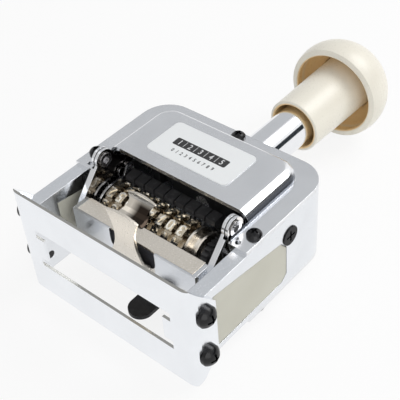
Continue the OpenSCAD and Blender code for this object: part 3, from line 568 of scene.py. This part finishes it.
# %% [markdown]
# ## The raised figures
# A numbering wheel carries the figures 0 to 9, mirror-written so that they print the right way
# round, and standing proud of the wheel's ten lands. A Curve modifier could bend them, but each of
# the eighty figures would need its own. So a figure starts as a text curve of Blender's own plain
# typeface, made into a mesh. It is cut into strips with bisect_plane, so that it has points to bend
# at, and then each point is laid on the wheel: its height along the land becomes an angle, and its
# depth becomes a radius. Slivers that the cuts leave are dissolved, so that every figure is a closed
# shell, and the normals are turned outwards again after the bending. The lands take up the left part
# of a wheel and its ratchet the rest, so the figures are centred on the lands and stay clear of the
# pawls in the ratchet.

# %% A flat figure as a bmesh
font_w = 0.55
font_bolder = 0.012
font_weld = 0.0005
bend_strips = 6
sliver = 0.002 * mm


def flat_figure(digit, width, height, depth):
    """A mirror-written digit, centred in its box."""
    curve = bpy.data.curves.new("figure", "FONT")
    curve.body = digit
    curve.resolution_u = 3
    curve.extrude = 0.5
    curve.offset = font_bolder
    text = bpy.data.objects.new("figure", curve)
    bpy.context.scene.collection.objects.link(text)
    flat = bpy.data.meshes.new_from_object(text)
    bpy.data.objects.remove(text)
    shape = bmesh.new()
    shape.from_mesh(flat)
    bmesh.ops.remove_doubles(shape, verts=shape.verts, dist=font_weld)
    low = Vector([min(v.co[i] for v in shape.verts) for i in range(3)])
    high = Vector([max(v.co[i] for v in shape.verts) for i in range(3)])
    centre = Matrix.Translation(-(low + high) / 2)
    sizes = (-width / max(font_w, high.x - low.x), height / (high.y - low.y), depth, 1)
    bmesh.ops.transform(shape, matrix=Matrix.Diagonal(sizes) @ centre, verts=shape.verts)
    bmesh.ops.reverse_faces(shape, faces=shape.faces)
    for strip in range(1, bend_strips):
        cut = Vector((0, height * (strip / bend_strips - 0.5), 0))
        everything = shape.verts[:] + shape.edges[:] + shape.faces[:]
        bmesh.ops.bisect_plane(shape, geom=everything, dist=sliver, plane_co=cut, plane_no=(0, 1, 0))
    bmesh.ops.dissolve_degenerate(shape, dist=sliver, edges=shape.edges)
    return shape


print("a figure bends in", bend_strips, "strips")

# %% Lay the figures round each wheel
figures = 10
figure_w = 2.8 * mm
figure_h = 4.1 * mm
figure_proud = 0.4 * mm
figure_sunk = 0.15 * mm
land_w = 3.0 * mm


def lay_on_wheel(shape, centre, land_r, turn):
    """Bends a flat figure round the wheel's axis and turns it to its land."""
    for vert in shape.verts:
        angle = turn + vert.co.y / land_r
        radius = land_r + vert.co.z
        vert.co = centre + Vector((vert.co.x, -radius * math.cos(angle), -radius * math.sin(angle)))


def figures_on(wheel, first):
    """All ten figures of one wheel in one piece; the figure first stands at the print window."""
    low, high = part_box(wheel)
    centre = (low + high) / 2
    centre.x = low.x + land_w / 2
    land_r = (high.z - low.z) / 2
    depth = figure_proud + figure_sunk
    ring = bmesh.new()
    for place in range(figures):
        shape = flat_figure(str((first + place) % figures), figure_w, figure_h, depth)
        bmesh.ops.translate(shape, vec=(0, 0, figure_proud - depth / 2), verts=shape.verts)
        lay_on_wheel(shape, centre, land_r, math.tau * place / figures)
        add_to(ring, shape)
    bmesh.ops.recalc_face_normals(ring, faces=ring.faces)
    return new_piece("figures_" + wheel[6:], ring, figure_nickel, wheel, smooth=False)


at_window = [(3 * number + 4) % figures for number in range(len(wheel_names))]
for wheel, first in zip(wheel_names, at_window):
    figures_on(wheel, first)
print("figures at the print window:", at_window)

# %% [markdown]
# ## The inked felt
# The pad is a block of felt soaked in ink. Its face bulges a little between its edges, its edges are
# soft, and its surface is uneven. A cloth simulation would be far too much for such a small swell, so
# a bevelled and subdivided cube has its points drawn in near the rim. It stands in the place of the
# plain CAD block.

# %% Model the felt
felt_edge = 0.8 * mm
felt_swell = 0.25 * mm
rim_sharpness = 6


def felt_block(low, high, swell):
    """A soft block inside a box: eased edges, and a face that is drawn in by swell at its rim."""
    size = high - low
    centre = (low + high) / 2
    shape = bmesh.new()
    bmesh.ops.create_cube(shape, size=1)
    bmesh.ops.transform(shape, matrix=Matrix.Diagonal((*size, 1)), verts=shape.verts)
    bmesh.ops.bevel(
        shape, geom=shape.edges[:], offset=felt_edge, segments=3, profile=0.5,
        affect="EDGES", material=-1,
    )
    bmesh.ops.subdivide_edges(shape, edges=shape.edges[:], cuts=5, use_grid_fill=True)
    for vert in shape.verts:
        across = abs(vert.co.x) / (size.x / 2)
        up = abs(vert.co.z) / (size.z / 2)
        rim = max(across, up) ** rim_sharpness
        vert.co.y *= 1 - 2 * swell * rim / size.y
    bmesh.ops.translate(shape, vec=centre, verts=shape.verts)
    return shape


felt_low, felt_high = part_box("ink_pad")
felt_shape = felt_block(felt_low, felt_high, felt_swell)
felt = new_piece("inked_felt_pad", felt_shape, inked_felt, "pad")
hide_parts("ink_pad")
print("felt in mm:", [round(v / mm, 1) for v in felt_high - felt_low])

# %% [markdown]
# ## The return spring
# The spring sits between the brass bush, which is fixed, and the washer under the knob, which goes
# down with the plunger. A rigid spring would come out through the knob when it goes down. Here the
# spring is wound as a mesh of its own, which rides on the fixed frame; nothing here shortens it with
# the stroke. A bevelled curve would wind it too, but each of its points would have to be worked out,
# where the spin operator winds it in three calls. A round section is spun about the plunger axis and
# moved on a little at each step; the first and last curls lie closed, as a real spring's do.

# %% Wind the spring
spring_wire = 1.1 * mm
spring_curls = 16
curl_steps = 16
wire_sides = 10


def wound_spring(low, high, wire, curls):
    """A compression spring along Y that fills a box, with one closed curl at each end."""
    axis_point = (low + high) / 2
    coil_r = (high.x - low.x - wire) / 2
    open_curls = curls - 2
    open_pitch = (high.y - low.y - 3 * wire) / open_curls
    shape = bmesh.new()
    bmesh.ops.create_circle(shape, cap_ends=True, segments=wire_sides, radius=wire / 2)
    start = Vector((axis_point.x + coil_r, low.y + wire / 2, axis_point.z))
    bmesh.ops.translate(shape, vec=start, verts=shape.verts)
    section = shape.verts[:] + shape.edges[:] + shape.faces[:]
    for turns, pitch in ((1, wire), (open_curls, open_pitch), (1, wire)):
        step = (0, pitch / curl_steps, 0)
        spun = bmesh.ops.spin(
            shape, geom=section, cent=axis_point, axis=(0, 1, 0), dvec=step,
            angle=math.tau * turns, steps=turns * curl_steps,
        )
        section = spun["geom_last"]
    bmesh.ops.recalc_face_normals(shape, faces=shape.faces)
    return shape


spring_low, spring_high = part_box("return_spring")
coil = wound_spring(spring_low, spring_high, spring_wire, spring_curls)
spring = new_piece("wound_return_spring", coil, spring_steel, "frame")
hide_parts("return_spring")
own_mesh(spring)

# %% [markdown]
# ## The label print
# The label is a pale film with a black band that is divided into five cells, and a row of small
# figures under it. A picture could be laid on the film, but it would be soft from close up and would
# have no thickness. So each mark is a very thin raised shape, as screen-printed ink is.

# %% Helpers for printed marks
ink_t = 0.04 * mm
corner_share = 0.15
figure_slimness = 0.6
label_low, label_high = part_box("label_plate")
label_mid = (label_low + label_high) / 2
label_w = label_high.x - label_low.x
label_h = label_high.y - label_low.y


def on_label(across, up, layer):
    """A point of the label, in the middle of an ink layer."""
    return Vector((label_mid.x + across, label_mid.y + up, label_high.z + ink_t * (layer - 0.5)))


def printed_bar(name, width, height, across, finish, layer=1):
    """A thin printed rectangle with eased corners, on the label's middle line."""
    shape = bmesh.new()
    bmesh.ops.create_cube(shape, size=1)
    bmesh.ops.transform(shape, matrix=Matrix.Diagonal((width, height, ink_t, 1)), verts=shape.verts)
    upright_edges = [e for e in shape.edges if abs(e.verts[0].co.z - e.verts[1].co.z) > ink_t / 2]
    bmesh.ops.bevel(
        shape, geom=upright_edges, offset=min(width, height) * corner_share, segments=3, profile=0.5,
        affect="EDGES", material=-1,
    )
    bmesh.ops.translate(shape, vec=on_label(across, 0, layer), verts=shape.verts)
    return new_piece(name, shape, finish, "frame", smooth=False)


def printed_figures(name, text, height, gap, up, finish, layer=1):
    """A row of plain figures, centred on the label and up from its middle."""
    row = bmesh.new()
    for place, digit in enumerate(text):
        shape = flat_figure(digit, -height * figure_slimness, height, ink_t)
        across = (place - (len(text) - 1) / 2) * gap
        bmesh.ops.translate(shape, vec=on_label(across, up, layer), verts=shape.verts)
        add_to(row, shape)
    bmesh.ops.recalc_face_normals(row, faces=row.faces)
    return new_piece(name, row, finish, "frame", smooth=False)


print("label in mm:", round(label_w / mm, 1), "x", round(label_h / mm, 1))

# %% Print the label
cells = 5
cell_w = label_w * 0.13
band_h = label_h * 0.21
line_w = cell_w * 0.04
line_h = band_h * 0.8
band_figure_h = band_h * 0.66
scale_gap = label_w * 0.055
scale_figure_h = label_h * 0.09
scale_up = -label_h * 0.25

printed_bar("label_band", cell_w * cells, band_h, 0, print_black)
for line in range(1, cells):
    printed_bar(f"label_line_{line}", line_w, line_h, (line - cells / 2) * cell_w, print_white, layer=2)
printed_figures("label_figures", "12345", band_figure_h, cell_w, 0, print_white, layer=2)
printed_figures("label_scale", "0123456789", scale_figure_h, scale_gap, scale_up, print_black)
print("label cells:", cells, "of", round(cell_w / mm, 1), "mm")

# %% [markdown]
# ## The floor
# The machine lies on a plain pale floor. A photographer would let the paper run up behind it, so that
# no horizon shows. That works from one side only. Here the floor is flat and glows a little to the
# camera instead, so that it nearly melts into the white backdrop from every side and still keeps the
# soft shadow.

# %% Lay the floor
floor_w = 6
floor_glow = 0.85
paper_shine = 0.1


def directly_seen(tree):
    """1 for what the camera sees, also in metal and through glass, and 0 for the light it gives."""
    path = tree.nodes.new("ShaderNodeLightPath")
    mirrored = tree.nodes.new("ShaderNodeMath")
    mirrored.operation = "MAXIMUM"
    through = tree.nodes.new("ShaderNodeMath")
    through.operation = "MAXIMUM"
    tree.links.new(path.outputs["Is Camera Ray"], mirrored.inputs[0])
    tree.links.new(path.outputs["Is Glossy Ray"], mirrored.inputs[1])
    tree.links.new(mirrored.outputs["Value"], through.inputs[0])
    tree.links.new(path.outputs["Is Transmission Ray"], through.inputs[1])
    return through.outputs["Value"]


def sheet(name, width, height, placing, finish):
    """A flat sheet of the studio, which is not part of the machine."""
    shape = bmesh.new()
    bmesh.ops.create_grid(shape, x_segments=1, y_segments=1, size=0.5)
    size = Matrix.Diagonal((width, height, 1, 1))
    bmesh.ops.transform(shape, matrix=placing @ size, verts=shape.verts)
    mesh = bpy.data.meshes.new(name)
    shape.to_mesh(mesh)
    shape.free()
    mesh.materials.append(finish)
    made = bpy.data.objects.new(name, mesh)
    bpy.context.scene.collection.objects.link(made)
    return made


paper, paper_tree, paper_shader = new_finish("floor_paper", (0.9, 0.9, 0.9), roughness=0.8)
paper_shader.inputs["Specular IOR Level"].default_value = paper_shine
glow = paper_tree.nodes.new("ShaderNodeEmission")
share = paper_tree.nodes.new("ShaderNodeMath")
share.operation = "MULTIPLY"
share.inputs[1].default_value = floor_glow
mixed = paper_tree.nodes.new("ShaderNodeMixShader")
paper_tree.links.new(directly_seen(paper_tree), share.inputs[0])
paper_tree.links.new(share.outputs["Value"], mixed.inputs["Fac"])
paper_tree.links.new(paper_shader.outputs["BSDF"], mixed.inputs[1])
paper_tree.links.new(glow.outputs["Emission"], mixed.inputs[2])
paper_tree.links.new(mixed.outputs["Shader"], paper_tree.nodes["Material Output"].inputs["Surface"])
sheet("floor", floor_w, floor_w, Matrix(), paper)
print("floor in metres:", floor_w, "x", floor_w)

# %% [markdown]
# ## Lamps
# Two large soft lamps light the machine, as softboxes would: a strong one above and behind to the
# right, and a weak one low in front of it. A sun lamp would be simpler, but its shadow would be hard,
# and point lamps would leave bright specks in the chrome.

# %% Hang the lamps
def soft_lamp(name, place, size, power):
    """A square soft lamp that faces the machine."""
    light = bpy.data.lights.new(name, "AREA")
    light.size = size
    light.energy = power
    lamp = bpy.data.objects.new(name, light)
    lamp.location = place
    lamp.rotation_mode = "QUATERNION"
    lamp.rotation_quaternion = (looked_at - Vector(place)).to_track_quat("-Z", "Y")
    bpy.context.scene.collection.objects.link(lamp)
    return lamp


lamps = [
    soft_lamp("key_lamp", place=(0.25, 0.42, 0.62), size=0.45, power=2.6),
    soft_lamp("fill_lamp", place=(0.5, -0.4, 0.3), size=0.5, power=0.9),
]
print("lamps and their watts:", {lamp.name: round(lamp.data.energy, 1) for lamp in lamps})

# %% [markdown]
# ## Cards for the reflections
# Polished metal shows nothing but its surroundings, and in an all-white studio it would vanish.
# Photographers stand grey and black cards just outside the picture. Here three grey cards and a dark
# one do the same. The camera and the matt surfaces don't see them and they cast no shadow, so that
# only the reflections change.

# %% Stand the cards round the machine
def card(name, place, width, height, shade):
    """A card that only shows in reflections, where it gives the metal a grey or a dark stripe."""
    finish, tree, _ = new_finish(name, shade)
    glow = tree.nodes.new("ShaderNodeEmission")
    glow.inputs["Color"].default_value = (*shade, 1)
    tree.links.new(glow.outputs["Emission"], tree.nodes["Material Output"].inputs["Surface"])
    turn = (looked_at - Vector(place)).to_track_quat("Z", "Y").to_matrix().to_4x4()
    board = sheet(name, width, height, Matrix.Translation(place) @ turn, finish)
    board.visible_camera = False
    board.visible_diffuse = False
    board.visible_shadow = False
    return board


cards = [
    card("grey_card", (-0.55, 0.52, 0.42), width=0.9, height=1.0, shade=(0.57, 0.58, 0.595)),
    card("front_card", (-0.50, -0.62, 0.46), width=0.8, height=0.8, shade=(0.62, 0.62, 0.62)),
    card("top_card", (0, 0, 0.95), width=1.0, height=1.0, shade=(0.66, 0.67, 0.69)),
    card("dark_card", (0.60, 0.42, 0.20), width=0.9, height=0.24, shade=(0.035, 0.04, 0.045)),
]
print("cards:", [board.name for board in cards])

# %% [markdown]
# ## The white surroundings
# The world stands for the white walls of the studio. It is fully white to the camera and in
# reflections, and weaker for matt surfaces, so that the lamps still shape them. The Standard view
# keeps white at white, where a filmic one would grey it.

# %% Set the world
ambient = 0.55
world = bpy.data.worlds.new("studio")
bpy.context.scene.world = world
world.use_nodes = True
air = world.node_tree
backdrop = air.nodes["Background"]
backdrop.inputs["Color"].default_value = (1, 1, 1, 1)
brightness = spread(air, directly_seen(air), ambient, 1, 0, 1)
air.links.new(brightness, backdrop.inputs["Strength"])
bpy.context.scene.view_settings.view_transform = "Standard"
print("light on matt surfaces, as a share of the white:", ambient)
